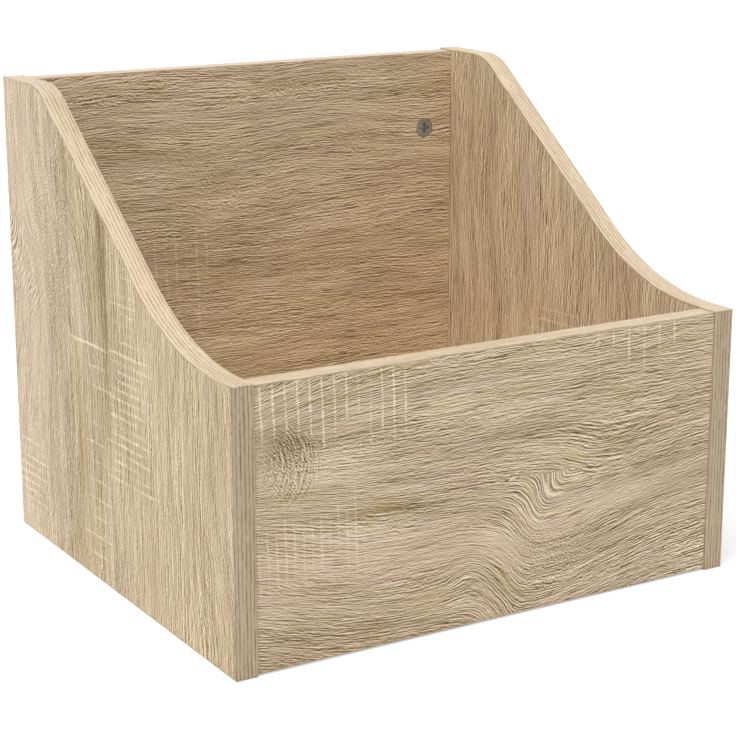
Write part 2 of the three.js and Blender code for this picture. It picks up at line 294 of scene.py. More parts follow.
def oak(p, along, across, layer, figure, knots, marks, tone, crisp, warmth, soft):
    """The printed and embossed oak: its colour, how light it is and the relief of its grain.

    `along` and `across` are millimetres with and over the grain, and `figure` bends the grain
    lines. Each layer of streaks is noise that is long with the grain and short over the lines,
    less the same noise a little higher, which paints light on its upper side and shade on its
    lower one: painted relief shading over the grain's own tone.
    `knots` is a mask of hatched grain, `marks` brightens the saw's, and `tone` the whole. `crisp`
    scales the streaks, and `soft` adds a mottle and shorter specks. `warmth` turns the hue to pink,
    or to olive below 0.
    """
    wander = (
        6.0 * p.noise(along / 90.0, across / 26.0, layer)
        + 1.3 * p.noise(along / 26.0, across / 9.0, layer + 3.0)
        + 0.7 * p.noise(along / 8.0, across / 3.5, layer + 5.0)
    )
    line = across + (1.0 + knots) * wander + figure

    # each streak below has painted light on its upper side and painted shade on its lower one
    def embossed(length, width, depth, row=line, run=along):
        return streaks_with_painted_relief_light(p, run / length, row / width, layer + depth)

    broad = p.noise(along / 110.0, line / 16.0, layer + 7.0, 1.0, 0.6)
    bands = p.noise(along / 45.0, line / 4.0, layer + 11.0, 1.0, 0.6)
    threads = embossed(24.0, 1.1, 13.0)
    fibres = embossed(6.0, 0.85, 17.0)
    speckle = embossed(1.3, 0.95, 19.0, across + 2.0 * wander)
    hatch = embossed(3.4, 1.3, 21.0, along + across, along - across)
    fine = threads + fibres + (0.5 + 2.5 * soft) * speckle
    fine = fine + knots * (1.1 * hatch - 0.5 * fibres - 0.75 * threads)
    pores = p.ease(p.noise(along / 20.0, line / 0.9, layer + 23.0), 0.17, 0.27)
    mottle = p.noise(along / 3.4, line / 1.7, layer + 33.0, 2.0, 0.6)
    grain = 0.38 * broad + crisp * (0.34 * bands + 1.38 * fine) - 0.32 * pores
    # the streaks' painted light and painted shade go into the lightness, and through the ramp into the
    # colour
    lift = 0.51 + grain + 1.6 * soft * mottle + tone + marks
    tones = bpy.context.scene.stand_oak
    colour = p.ramp(
        lift,
        [
            (0.02, tones.pore),
            (0.20, tones.dark),
            (0.38, tones.shade),
            (0.54, tones.body),
            (0.70, tones.light),
            (0.96, tones.cream),
        ],
    )
    hue = p.noise(along / 60.0, line / 8.0, layer + 29.0, 2.0, 0.6) + warmth
    colour = p.mix(p.ease(hue, -0.02, 0.30) * 0.22, colour, tones.pink)
    colour = p.mix(p.ease(-hue, 0.0, 0.30) * 0.24, colour, tones.olive)
    return colour, lift, grain


def front_figure(p, u, v, layer):
    """The front panel's figure, from its left end and its foot."""
    # grain that fans out from the left end, over and under a knot
    fan = p.bell(u, 5.0, 70.0) * (p.ease(v, 90.0, 166.0) * 2.0 - 1.0)
    knot = p.ease(p.bell(u, 40.0, 32.0) * p.bell(v, 128.0, 38.0), 0.25, 0.85)
    # the knot's right side is arcs round a point beside the panel's end, darkest at their top
    radius = ((u - 12.0) * (u - 12.0) + (v - 128.0) * (v - 128.0)) ** 0.5
    bow = streaks_with_painted_relief_light(p, v / 7.0, radius / 1.9, layer + 47.0)
    dark = p.bell(u, 36.0, 18.0) * p.bell(v, 143.0, 13.0)
    # below an edge, lines dive to a valley right of the middle and climb slowly to the right end;
    # over it they only sag towards the right, so it cuts the steep ones off
    slant = u - 0.3 * v
    rise = (v - 60.0).most(0.0)
    dive = 27.0 * lopsided_bell(p, slant - 0.015 * rise * rise, 206.0, 34.0, 130.0)
    sag = 15.0 * lopsided_bell(p, slant, 238.0, 45.0, 90.0) * p.ease(-v, -150.0, -76.0)
    climb = (u - 262.0).most(0.0) / 8.0
    edge = 93.0 - 13.0 * p.ease(u, 246.0, 270.0) + climb + 4.0 * p.noise(u / 25.0, 0.0, layer)
    under = p.ease(edge - v, -0.6, 0.6)
    hump = p.bell(u, 168.0, 22.0) * p.bell(v, 34.0, 26.0)
    figure = 19.0 * fan + sag + (dive - sag) * under - 7.0 * hump
    # bright arcs on the dive's steep side
    eye = p.ease(p.bell(u - 1.9 * v, 81.0, 26.0), 0.1, 0.8) * p.ease(p.bell(v, 74.0, 20.0), 0.2, 0.7)
    rings = p.noise(u / 40.0, (v + figure) / 1.9, layer + 41.0, 1.0)
    arcs = eye * (0.58 * p.ease(rings, 0.02, 0.22) - 0.30 * p.ease(-rings, 0.04, 0.24))
    arcs = arcs + 0.10 * p.bell(u, 199.0, 20.0) * p.bell(v, 53.0, 12.0)
    valley = p.ease(p.bell(u, 232.0, 56.0) * p.bell(v, 40.0, 40.0), 0.2, 0.9)
    # broad patches of tone: a dark lens at the left, a dark foot, a pale belt and dark crests
    lens = p.bell(u, 104.0, 40.0) * p.bell(v + 0.08 * (u - 104.0), 89.0, 3.4)
    foot = p.bell(u, 70.0, 170.0) * p.ease(-v, -46.0, -16.0)
    pale = p.bell(u, 80.0, 150.0) * p.bell(v, 58.0, 24.0)
    crest = p.ease(u, 262.0, 320.0) * p.bell(v - 0.08 * (u - 262.0), 82.0, 14.0)
    crest = crest + 0.5 * p.bell(u, 222.0, 50.0) * p.bell(v, 128.0, 16.0)
    tone = arcs + 0.9 * knot * bow - 0.05 * knot - 0.20 * dark
    tone = tone - 0.26 * lens - 0.11 * foot + 0.05 * pale - 0.10 * crest
    marks = saw_marks(
        p,
        u,
        v,
        layer,
        [
            (19.5, 120.0, 140.0, 185.0, 8.25, 0.48, 1.0),
            (264.0, 330.0, 160.0, 185.0, 12.5, 0.40, 1.2),
            (17.0, 92.0, 55.0, 92.0, 6.1, 0.26, 1.0),
        ],
    )
    pink = p.bell(u, 80.0, 150.0) * p.ease(p.bell(v, 58.0, 28.0), 0.2, 0.9)
    return {
        "figure": figure,
        "knots": (knot + 0.7 * valley).least(1.0),
        "marks": marks,
        "tone": tone,
        "crisp": 1.0 + p.ease(u, 180.0, 250.0) * p.ease(-v, -60.0, -24.0),
        "warmth": 0.42 * pink - 0.25 * lens,
        "soft": 0.0,
    }


def side_figure(p, u, v, layer):
    """The left side panel's outer figure, from its foot and its front edge."""
    # left of the joint between two staves the lines fan out upwards
    stave = p.ease(v, 172.2, 172.8)
    fan = -0.55 * stave * p.ease(u, 130.0, 290.0) * (v - 172.5).least(60.0)
    # near the front edge they bend forwards to the foot
    bend = 22.0 * p.ease(-u, -112.0, -4.0) * p.ease(-v, -86.0, -10.0)
    # and at the back edge they lean forwards as they rise, up to a knot that the edge cuts through
    lean = 34.0 * p.ease(v, 262.0, 312.0) * p.ease(u, 90.0, 190.0) * p.ease(-u, -236.0, -196.0)
    # round that knot are oblong hooks, and below it are feathers
    stroke = (u - v) / 16.0
    radius = ((u - 234.0) * (u - 234.0) / 2.2 + (v - 340.0) * (v - 340.0)) ** 0.5
    hooks = p.bell(u, 214.0, 26.0) * p.ease(v, 300.0, 316.0)
    hooks = hooks * streaks_with_painted_relief_light(p, stroke, radius / 2.4, layer + 49.0)
    feathers = p.bell(u, 181.0, 14.0) * p.bell(v, 300.0, 20.0)
    feathers = feathers * streaks_with_painted_relief_light(p, stroke, (u + v) / 2.6, layer + 47.0)
    # hatched grain covers the upper back, and a dark wedge beside the joint
    speck = p.ease(p.bell(v, 262.0, 52.0) * p.bell(u, 235.0, 80.0), 0.15, 0.6)
    wedge = stave * p.ease(-v + 0.16 * (u - 160.0), -180.0, -168.0) * p.ease(u, 150.0, 190.0)
    # a dark line rises from the foot between the joint and the front edge
    waver = 2.0 * p.noise(u / 30.0, 0.0, layer)
    crack = (1.0 - p.ease(abs(v - 87.5 + waver), 0.2, 1.3)) * p.ease(-u, -186.0, -176.0)
    # long streaks, strongest beside the joint, and fine straight veins in front of it
    streaks = p.noise(u / 160.0, v / 4.5, layer + 43.0, 1.0) * (0.6 + p.bell(v, 200.0, 60.0))
    straight = p.ease(-v, -215.0, -165.0)
    veins = p.noise(u / 60.0, v / 1.5, layer + 45.0) * straight
    dark_side = stave * p.ease(-v, -210.0, -176.0) * p.ease(u, 40.0, 130.0)
    # broad stripes: palest at the back edge, darker on both sides of the joint and at the front
    stripe = 0.09 * p.ease(v, 262.0, 290.0)
    stripe = stripe - 0.03 * p.ease(v, 136.0, 150.0) * p.ease(-v, -275.0, -255.0)
    stripe = stripe + 0.05 * p.ease(v, 72.0, 84.0) * p.ease(-v, -150.0, -136.0)
    tone = 2.6 * (feathers + hooks) + stripe + 0.36 * streaks + 0.5 * veins
    tone = tone - 0.16 * wedge - 0.15 * dark_side - 0.17 * crack
    marks = saw_marks(
        p,
        u,
        v,
        layer,
        [
            (82.0, 170.0, 114.0, 168.0, 6.1, 0.56, 1.6),
            (176.0, 226.0, 124.0, 148.0, 6.1, 0.38, 1.3),
            (18.0, 70.0, 298.0, 334.0, 6.2, 0.42, 1.3),
            (5.0, 160.0, 174.0, 200.0, 13.2, 0.42, 1.25),
            (163.5, 165.5, 172.0, 234.0, 8.0, 0.9, 1.8),
        ],
    )
    warmth = 0.16 * p.ease(v, 205.0, 245.0) * p.ease(u, 110.0, 190.0) - 0.2 * dark_side
    warmth = warmth - 0.28 * p.ease(-v, -270.0, -110.0) - 0.15 * p.bell(v, 235.0, 45.0)
    return {
        # the last term starts the grain afresh at the joint
        "figure": fan + bend + lean + 41.0 * stave,
        "knots": speck.most(0.5 * wedge),
        "marks": marks,
        "tone": tone,
        "crisp": 1.0 + 0.35 * straight,
        "warmth": warmth,
        "soft": 0.28 - 0.14 * straight,
    }


def plain_figure(p, u, v, layer):
    """The figure of a face that the photograph doesn't show: slow dips and a few saw marks."""
    knots = p.ease(p.noise(u / 60.0, v / 30.0, layer + 37.0), 0.12, 0.30)
    return {
        "figure": 16.0 * p.noise(u / 130.0, v / 70.0, layer + 31.0),
        "knots": 0.7 * knots,
        "marks": saw_marks(p, u, v, layer, [(30.0, 150.0, 150.0, 200.0, 8.3, 0.2, 1.3)]),
        "tone": -0.03,
        "crisp": 0.95,
        "warmth": 0.0,
        "soft": 0.1,
    }


# Each board's grain axis, the axis over the grain, the one through it, and where its face's
# coordinates start
BOARDS = {
    "left_side_panel": ("Z", "Y", "X", 0.0, -DEPTH / 2, side_figure),
    "right_side_panel": ("Z", "Y", "X", 0.0, -DEPTH / 2, plain_figure),
    "front_panel": ("X", "Z", "Y", -187.5, 0.0, front_figure),
    "back_panel": ("X", "Z", "Y", -187.5, 0.0, plain_figure),
    "bottom_panel": ("X", "Y", "Z", -187.5, -DEPTH / 2, plain_figure),
}


def chipboard(p, x, y, z):
    """Pressed wood flakes, which a board shows only where it is cut or bored."""
    sockets = {"Vector": p.join(x / 2.6, y / 2.6, z / 1.1), "Scale": 1.0}
    flakes = p.wire("ShaderNodeTexVoronoi", None, sockets, out="Color")
    return p.ramp(
        p.split(flakes)[0] + 0.5 * p.noise(x * 2.0, y * 2.0, z * 2.0, 2.0),
        [
            (0.0, linear(120, 90, 56)),
            (0.35, linear(176, 142, 98)),
            (0.75, linear(206, 178, 134)),
            (1.0, linear(226, 204, 164)),
        ],
    )


def board_material(node):
    """Oak decor on both faces of a board, and chipboard between them."""
    p = new_pattern(f"oak_{node}")
    place = dict(zip("XYZ", p.place()))
    along, over, through, start, foot, figure_of = BOARDS[node]
    u, v, w = place[along] - start, place[over] - foot, place[through]
    layer = 40.0 * list(BOARDS).index(node) + w / 40.0
    colour, lift, grain = oak(p, u, v, layer, **figure_of(p, u, v, layer))
    low, high = (corner["XYZ".index(through)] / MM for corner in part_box(node))
    faced = p.ease(abs(w - (low + high) / 2.0), BOARD / 2 - 0.10, BOARD / 2 - 0.05)
    colour = p.mix(faced, chipboard(p, *place.values()), colour)
    # chipboard is rougher than the decor, which is a little glossier where it is light
    roughness = 0.85 - faced * (0.25 + 0.12 * lift)
    return p.finish(colour, roughness, p.relief(grain * faced, 0.10), Specular_IOR_Level=0.3)


def beech(name, grain):
    """Pale beech with short darker flecks along the grain."""
    p = new_pattern(name)
    place = dict(zip("XYZ", p.place()))
    along = place.pop(grain)
    a, b = place.values()
    ring = p.noise(along / 30.0, a / 1.6, b / 1.6, 2.0)
    fleck = p.ease(p.noise(along / 2.4, a / 0.35, b / 0.35), 0.12, 0.22)
    colour = p.ramp(
        0.5 + 1.2 * ring - 0.35 * fleck,
        [(0.1, linear(168, 122, 78)), (0.5, linear(214, 174, 124)), (0.9, linear(234, 204, 160))],
    )
    return p.finish(colour, 0.75 + 0.1 * ring, p.relief(ring - fleck, 0.05))


def metal(name, dark, light, roughness, grain):
    """Metal whose tone and gloss vary a little, with a fine cast or plated skin."""
    p = new_pattern(name)
    x, y, z = p.place()
    cloud = p.noise(x / 3.0, y / 3.0, z / 3.0, 3.0)
    skin = p.noise(x / grain, y / grain, z / grain, 2.0)
    colour = p.ramp(0.5 + 1.2 * cloud + 0.3 * skin, [(0.15, dark), (0.85, light)])
    return p.finish(colour, roughness + 0.25 * cloud + 0.15 * skin, p.relief(skin, 0.02), Metallic=1.0)


def edge_band(name, layer, tone):
    """Plastic strip with thin dark oak lines along it. Its UV map is in metres along and across."""
    p = new_pattern(name)
    s, t, _ = p.split(p.wire("ShaderNodeUVMap", {"uv_map": "strip"}))
    s, t = s / MM, t / MM
    wander = 1.6 * p.noise(s / 38.0, t / 9.0, layer) + 0.4 * p.noise(s / 6.0, t / 4.0, layer)
    line = t + wander
    broad = p.noise(s / 120.0, line / 5.0, layer + 2.0)
    # the dark lines are 2.6 mm apart, uneven in breadth and broken in places
    breadth = 0.42 + 0.9 * p.noise(s / 14.0, t / 2.5, layer + 4.0)
    broken = p.ease(p.noise(s / 25.0, line / 2.6, layer + 5.0), -0.22, -0.02)
    vessels = (1.0 - p.ease(line.zigzag(1.3), 0.05, breadth)) * broken
    fibres = p.noise(s / 5.0, line / 0.6, layer + 6.0, 1.0)
    # a `tone` below 0 is painted shade, as on the strips of the side panels' front edges
    lift = 0.63 + tone + 0.30 * broad + 0.75 * fibres - 0.58 * vessels
    colour = p.ramp(
        lift,
        [
            (0.05, linear(136, 115, 86)),
            (0.35, linear(178, 158, 129)),
            (0.60, linear(199, 179, 152)),
            (0.90, linear(219, 200, 174)),
        ],
    )
    hue = p.noise(s / 50.0, line / 4.0, layer + 8.0, 1.0)
    colour = p.mix(p.ease(hue, 0.0, 0.25) * 0.06, colour, bpy.context.scene.stand_oak.pink)
    return p.finish(colour, 0.5 - 0.1 * lift, p.relief(lift, 0.05), Specular_IOR_Level=0.35)


# ---------------------------------------------------------------- surfaces


def new_piece(name, points, faces, material, slot, *nodes):
    """A piece of the stand from points in millimetres and faces as vertex numbers."""
    mesh = bpy.data.meshes.new(name)
    mesh.from_pydata((points * MM).tolist(), [], faces)
    mesh.materials.append(material)
    mesh.update()
    piece = bpy.data.objects.new(name, mesh)
    bpy.context.scene.collection.objects.link(piece)
    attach(piece, "root")
    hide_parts(*nodes)
    return piece


def tube_faces(rings, around):
    """Quads between neighbouring rings of a tube that closes round, and a fan on each end.

    Vertex r * around + a is point a of ring r; the two fans' centres come after them all.
    """
    r, a = np.meshgrid(np.arange(rings - 1), np.arange(around), indexing="ij")
    b = (a + 1) % around
    near, far = r * around, (r + 1) * around
    quads = np.stack([near + a, near + b, far + b, far + a], -1)
    a = np.arange(around)
    b = (a + 1) % around
    first = np.stack([b, a, np.full(around, rings * around)], -1)
    last = (rings - 1) * around
    second = np.stack([last + a, last + b, np.full(around, rings * around + 1)], -1)
    return quads.reshape(-1, 4).tolist() + first.tolist() + second.tolist()


def with_fans(rings):
    """All points of a (rings, around, 3) tube, then the middle of its first and last ring."""
    ends = [rings[0].mean(0), rings[-1].mean(0)]
    return np.concatenate([rings.reshape(-1, 3), ends])


# ---------------------------------------------------------------- edge bands


def side_curve(steps):
    """The side panel's upper edge from front to back, and its outward normals.

    Level, then a hollow arc and a round one with a ramp tangent to both, then level. The ramp's
    slope is the angle of the line between the arcs' centres plus that of the radii's sum over it.
    """
    run = DEPTH - FRONT_FLAT - CROWN_FLAT
    rise = BACK_HEIGHT - FRONT_HEIGHT
    radii = SWEEP_RADIUS + CROWN_RADIUS
    ramp = math.sqrt(run**2 + rise**2 - 2 * rise * radii)
    slope = math.atan2(rise - radii, run) + math.atan2(radii, ramp)
    turn = np.linspace(0, slope, steps)
    hollow = np.stack([np.sin(turn), -np.cos(turn)], -1)
    crown = np.stack([-np.sin(turn[::-1]), np.cos(turn[::-1])], -1)
    points = np.concatenate(
        [
            [[0.0, FRONT_HEIGHT]],
            np.array([FRONT_FLAT, FRONT_HEIGHT + SWEEP_RADIUS]) + SWEEP_RADIUS * hollow,
            np.array([DEPTH - CROWN_FLAT, BACK_HEIGHT - CROWN_RADIUS]) + CROWN_RADIUS * crown,
            [[DEPTH, BACK_HEIGHT]],
        ]
    )
    normals = np.concatenate([[[0.0, 1.0]], -hollow, crown, [[0.0, 1.0]]])
    return points, normals


def strip_profile(rounding, corner_steps):
    """A band's section, closed: across from -7.5 to 7.5, up from 0 at the glue to its thickness."""
    half = BOARD / 2
    turn = np.linspace(0, math.pi / 2, corner_steps)
    corner = np.array([half - rounding, BAND - rounding])
    right = corner + rounding * np.stack([np.cos(turn), np.sin(turn)], -1)
    left = right[::-1] * [-1, 1]
    across = np.linspace(half - rounding, rounding - half, 9)[1:-1]
    top = np.stack([across, np.full_like(across, BAND)], -1)
    return np.concatenate([[[half, 0.0]], right, top, left, [[-half, 0.0]]])


def band_piece(name, path, normals, sideways, material, band, *nodes):
    """A strip's profile carried along a path of its outer face's middle, with eased ends."""
    profile = strip_profile(band.rounding / MM, 5)
    steps = np.linalg.norm(np.diff(path, axis=0), axis=1)
    length = np.concatenate([[0], np.cumsum(steps)])
    # two short end stretches where the section draws in a little, so that the cut is eased
    ease = band.cut_easing / MM
    stations = np.concatenate([[0.0, ease], length[1:-1], [length[-1] - ease, length[-1]]])
    drawn = np.concatenate([[1.0, 0.0], np.zeros(len(length) - 2), [0.0, 1.0]])
    centre = np.stack([np.interp(stations, length, path[:, k]) for k in range(3)], -1)
    normal = np.stack([np.interp(stations, length, normals[:, k]) for k in range(3)], -1)
    normal /= np.linalg.norm(normal, axis=1)[:, None]
    inset = drawn[:, None] * ease
    across = profile[None, :, 0] - np.sign(profile[None, :, 0]) * inset
    up = np.where(profile[None, :, 1] > 0, profile[None, :, 1] - inset, 0.0) - BAND
    rings = centre[:, None] + across[..., None] * sideways + up[..., None] * normal[:, None]
    around = len(profile)
    faces = tube_faces(len(rings), around)
    piece = new_piece(name, with_fans(rings), faces, material, "edge_band", *nodes)
    # UV: metres along the strip and round its section
    girth = np.concatenate([[0], np.cumsum(np.linalg.norm(np.diff(profile, axis=0), axis=1))])
    s = np.repeat(stations, around)
    t = np.tile(girth, len(stations))
    s = np.concatenate([s, [0.0, length[-1]]])
    t = np.concatenate([t, [girth[-1] / 2] * 2])
    layer = piece.data.uv_layers.new(name="strip")
    corners = np.zeros(len(piece.data.loops), np.int32)
    piece.data.loops.foreach_get("vertex_index", corners)
    uv = np.stack([s[corners], t[corners]], -1) * MM
    layer.data.foreach_set("uv", uv.ravel().astype(np.float32))
    smooth(piece, 40)


# ---------------------------------------------------------------- fittings


def turned(radii, heights, around):
    """Rings round z. `radii` is one radius a ring, or a radius for each ring and each step round."""
    turn = np.linspace(0, 2 * math.pi, around, endpoint=False)
    radii = np.asarray(radii, float)
    if radii.ndim == 1:
        radii = np.repeat(radii[:, None], around, 1)
    heights = np.repeat(np.asarray(heights, float)[:, None], around, 1)
    return np.stack([radii * np.cos(turn), radii * np.sin(turn), heights], -1)


def cam_bolt_rings(fitting):
    """A screw thread, a collar, a shank and a necked head, turned about z.

    The thread's radius at height z and turn t is its root plus a ridge that peaks where
    z / pitch - t / (2 pi) is whole, and it fades out at the tip and under the collar.
    """
    around = 40
    point = 1.4
    z = np.linspace(BOLT_TIP, 0.0, 121)
    turn = np.linspace(0, 1, around, endpoint=False)
    wave = np.abs((z[:, None] / (fitting.pitch / MM) - turn[None] + 0.5) % 1.0 - 0.5) * 2
    ridge = np.clip(1.25 - 2.0 * wave, 0, 1)
    # 0 at the tip and 1 past its point
    run_in = np.clip((z[:, None] - BOLT_TIP) / point, 0, 1)
    root = 1.0 + 0.75 * run_in
    thread = root + fitting.thread_depth / MM * ridge * run_in * np.clip(-z[:, None], 0, 1)
    profile = np.array(
        [
            [1.9, 0.15],
            [3.45, 0.2],
            [3.7, 0.45],
            [3.7, 2.35],
            [3.45, 2.6],
            [3.0, 2.62],
            [3.0, 14.3],
            [2.6, 14.9],
            [1.95, 15.5],
            [1.7, 15.9],
            [1.7, 22.1],
            [1.9, 22.3],
            [2.95, 22.32],
            [3.2, 22.55],
            [3.2, 24.7],
            [2.9, 25.1],
            [1.9, 25.65],
            [1.5, BOLT_END],
        ]
    )
    rings = [turned(thread, z, around), turned(profile[:, 0], profile[:, 1], around)]
    # a driver's hollow in the head's end
    end = np.array([[1.35, 25.6], [1.1, 24.9], [0.4, 24.2]])
    rings.append(turned(end[:, 0], end[:, 1], around))
    return np.concatenate(rings)


def dowel_rings(fitting):
    """A dowel about z whose radius dips by half a cosine at each flute, with chamfered ends."""
    around = 6 * fitting.flutes
    turn = np.linspace(0, 2 * math.pi, around, endpoint=False)
    flute = fitting.flute_depth / MM * (0.5 + 0.5 * np.cos(fitting.flutes * turn)) ** 2
    foot = DOWEL_FOOT + np.array([0.0, 0.1, 0.5, 0.9, 1.5])
    tip = DOWEL_TIP - np.array([1.5, 0.9, 0.5, 0.1, 0.0])
    z = np.concatenate([foot, np.linspace(-6, 17, 6), tip])
    end = np.minimum(z - DOWEL_FOOT, DOWEL_TIP - z)
    rim = 3.9 - 0.9 * np.clip(1 - end / 0.9, 0, 1) ** 1.3
    radii = rim[:, None] - flute[None] * np.clip(end / 1.5, 0, 1)[:, None]
    return turned(radii, z, around)


def prism(outline, low, high, draft=1.0):
    """A closed prism about z from an outline in x and y, its high end scaled by `draft`."""
    outline = np.asarray(outline, float)
    ends = [np.column_stack([outline, np.full(len(outline), low)])]
    ends.append(np.column_stack([outline * draft, np.full(len(outline), high)]))
    return np.stack(ends)


def arc(radius, first, last, steps):
    """Points round the origin from one angle to another."""
    turn = np.linspace(first, last, steps)
    return np.stack([radius * np.cos(turn), radius * np.sin(turn)], -1)


def shell(rings):
    """A closed mesh from rings, with one flat face on each end, not yet a piece."""
    count, around = rings.shape[:2]
    walls = tube_faces(count, around)[: (count - 1) * around]
    numbers = np.arange(count * around).reshape(count, around)
    ends = [numbers[0, ::-1].tolist(), numbers[-1].tolist()]
    mesh = bpy.data.meshes.new("shell")
    mesh.from_pydata(rings.reshape(-1, 3).tolist(), [], walls + ends)
    return mesh


def cut(body, cutters):
    """The body less each cutter in turn, as a mesh."""
    link = bpy.context.scene.collection.objects.link
    subject = bpy.data.objects.new("cut_body", body)
    link(subject)
    tools = []
    for number, cutter in enumerate(cutters):
        tool = bpy.data.objects.new(f"cut_tool_{number}", cutter)
        link(tool)
        tools.append(tool)
        step = subject.modifiers.new(tool.name, "BOOLEAN")
        step.operation, step.solver, step.object = "DIFFERENCE", "EXACT", tool
    evaluated = subject.evaluated_get(bpy.context.evaluated_depsgraph_get())
    result = bpy.data.meshes.new_from_object(evaluated)
    for made in (subject, *tools):
        bpy.data.objects.remove(made)
    return result


def cam_housing():
    """The housing about z, its face up and its bolt coming from the side of -y.

    It is a turned body, less a round chamber for the bolt's head, a slot for the neck over a part
    of a turn, a mouth at the slot's end that lets the head in, a driver's cross and an arrow.
    """
    face = HOUSING_FACE
    body = turned(
        [6.6, 7.15, 7.4, 7.4, 7.1, 6.5, 6.2, 6.2],
        [HOUSING_FOOT, HOUSING_FOOT, -4.3, 6.75, 7.15, face, face, 7.05],
        96,
    )
    # half the chamber's and the mouth's width, and a radius outside the body
    half, clear = 3.6, 8.5
    to_bolt = -math.pi / 2
    chamber = turned([4.4, 4.4], [-half, half], 48)
    first, last = to_bolt - math.radians(28), to_bolt + math.radians(115)
    sector = np.concatenate([arc(clear, first, last, 40), arc(3.4, last, first, 40)])
    slot = prism(sector, -2.1, 2.1)
    out = clear * np.array([math.cos(last), math.sin(last)])
    side = half * np.array([-math.sin(last), math.cos(last)])
    mouth = prism([-side, out - side, out + side, side], -half, half)
    long, wide = 4.0, 0.7
    cross = [(long, wide), (wide, wide), (wide, long), (-wide, long), (-wide, wide), (-long, wide)]
    cross += [(-x, -y) for x, y in cross]
    recess = prism(np.array(cross) * 0.82, 5.0, 8.0, 1.39)
    arrow = prism([(0.0, -5.9), (0.95, -4.7), (-0.95, -4.7)], 6.85, 8.0)
    return cut(shell(body), [shell(c) for c in (chamber, slot, mouth, recess, arrow)])


def placed(points, origin, x_axis, y_axis):
    """Points turned so that their x and y go along two given axes, then moved to the origin."""
    z_axis = np.cross(x_axis, y_axis)
    return origin + points @ np.stack([x_axis, y_axis, z_axis])


def middle(node):
    """The middle of a node's box and its lengths, in millimetres."""
    low, high = (np.array(corner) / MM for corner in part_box(node))
    return (low + high) / 2, high - low


def fittings(kind):
    """The names of the nodes that end in a kind's word."""
    return sorted(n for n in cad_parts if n.endswith(kind))


def smooth(piece, degrees):
    """Smooth shading, with sharp edges where faces meet at more than an angle."""
    piece.data.shade_smooth()
    piece.data.set_sharp_from_angle(angle=math.radians(degrees))


# ---------------------------------------------------------------- settings


def size_setting(name, description, default, least, most):
    """A length setting from millimetres, which Blender keeps in metres."""
    return FloatProperty(
        name=name,
        description=description,
        default=default * MM,
        min=least * MM,
        max=most * MM,
        unit="LENGTH",
        precision=5,
    )


def colour_setting(name, description, red, green, blue):
    """A colour setting from an sRGB colour given from 0 to 255."""
    return FloatVectorProperty(
        name=name,
        description=description,
        default=linear(red, green, blue),
        size=4,
        min=0.0,
        max=1.0,
        subtype="COLOR",
    )


class OakSettings(bpy.types.PropertyGroup):
    """The decor's colours"""

    pore: colour_setting("Pore", "Colour of the darkest pores", 99, 75, 40)
    dark: colour_setting("Dark", "Colour of dark grain", 138, 114, 78)
    shade: colour_setting("Shade", "Colour of grain in between dark and plain", 180, 157, 122)
    body: colour_setting("Body", "Colour of plain oak", 211, 188, 155)
    light: colour_setting("Light", "Colour of light grain", 236, 214, 184)
    cream: colour_setting("Cream", "Colour of the saw marks", 254, 238, 213)
    pink: colour_setting("Pink", "Hue that warm parts turn to", 222, 184, 174)
    olive: colour_setting("Olive", "Hue that cool parts turn to", 202, 176, 118)


class BandSettings(bpy.types.PropertyGroup):
    """The edge bands' sizes"""

    rounding: size_setting("Rounding", "Radius along a band's outer edges", 0.45, 0.05, 0.8)
    cut_easing: size_setting("Cut easing", "Easing of a band's cut ends", 0.15, 0.01, 0.4)
    arc_steps: IntProperty(
        name="Arc steps",
        description="Points along each arc of the S-curve",
        default=64,
        min=8,
        max=256,
    )


class FittingSettings(bpy.types.PropertyGroup):
    """The bolts' and the dowels' sizes"""

    pitch: size_setting("Thread pitch", "Pitch of a cam bolt's thread", 1.9, 0.5, 4.0)
    thread_depth: size_setting("Thread depth", "Depth of the thread", 0.62, 0.1, 0.65)
    flute_depth: size_setting("Flute depth", "Depth of a dowel's flutes", 0.28, 0.05, 0.8)
    flutes: IntProperty(
        name="Flutes",
        description="Number of flutes round a dowel",
        default=20,
        min=6,
        max=40,
    )


class StageSettings(bpy.types.PropertyGroup):
    """The lights and the floor"""

    ambient: FloatProperty(
        name="Ambient",
        description="Strength of the even light from all round",
        default=0.5,
        min=0.0,
        max=2.0,
    )
    key: FloatProperty(
        name="Key",
        description="Strength of the soft lamp from the upper left",
        default=1.0,
        min=0.0,
        max=5.0,
    )
    softness: FloatProperty(
        name="Softness",
        description="Angle that the lamp fills, seen from the stand",
        default=math.radians(40.0),
        min=0.0,
        max=math.pi,
        subtype="ANGLE",
    )
    floor_colour: FloatVectorProperty(
        name="Floor colour",
        description="Colour of the light that the floor throws back at the stand",
        default=(0.55, 0.55, 0.55, 1.0),
        size=4,
        min=0.0,
        max=1.0,
        subtype="COLOR",
    )


# ---------------------------------------------------------------- operators


class STAND_OT_dress_boards(bpy.types.Operator):
    """Give the five boards their oak decor"""

    bl_idname = "stand.dress_boards"
    bl_label = "Dress boards"

    def execute(self, context):
        for node in BOARDS:
            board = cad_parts[node]
            material = board_material(node)
            for place in board.material_slots:
                place.material = material
        return {"FINISHED"}


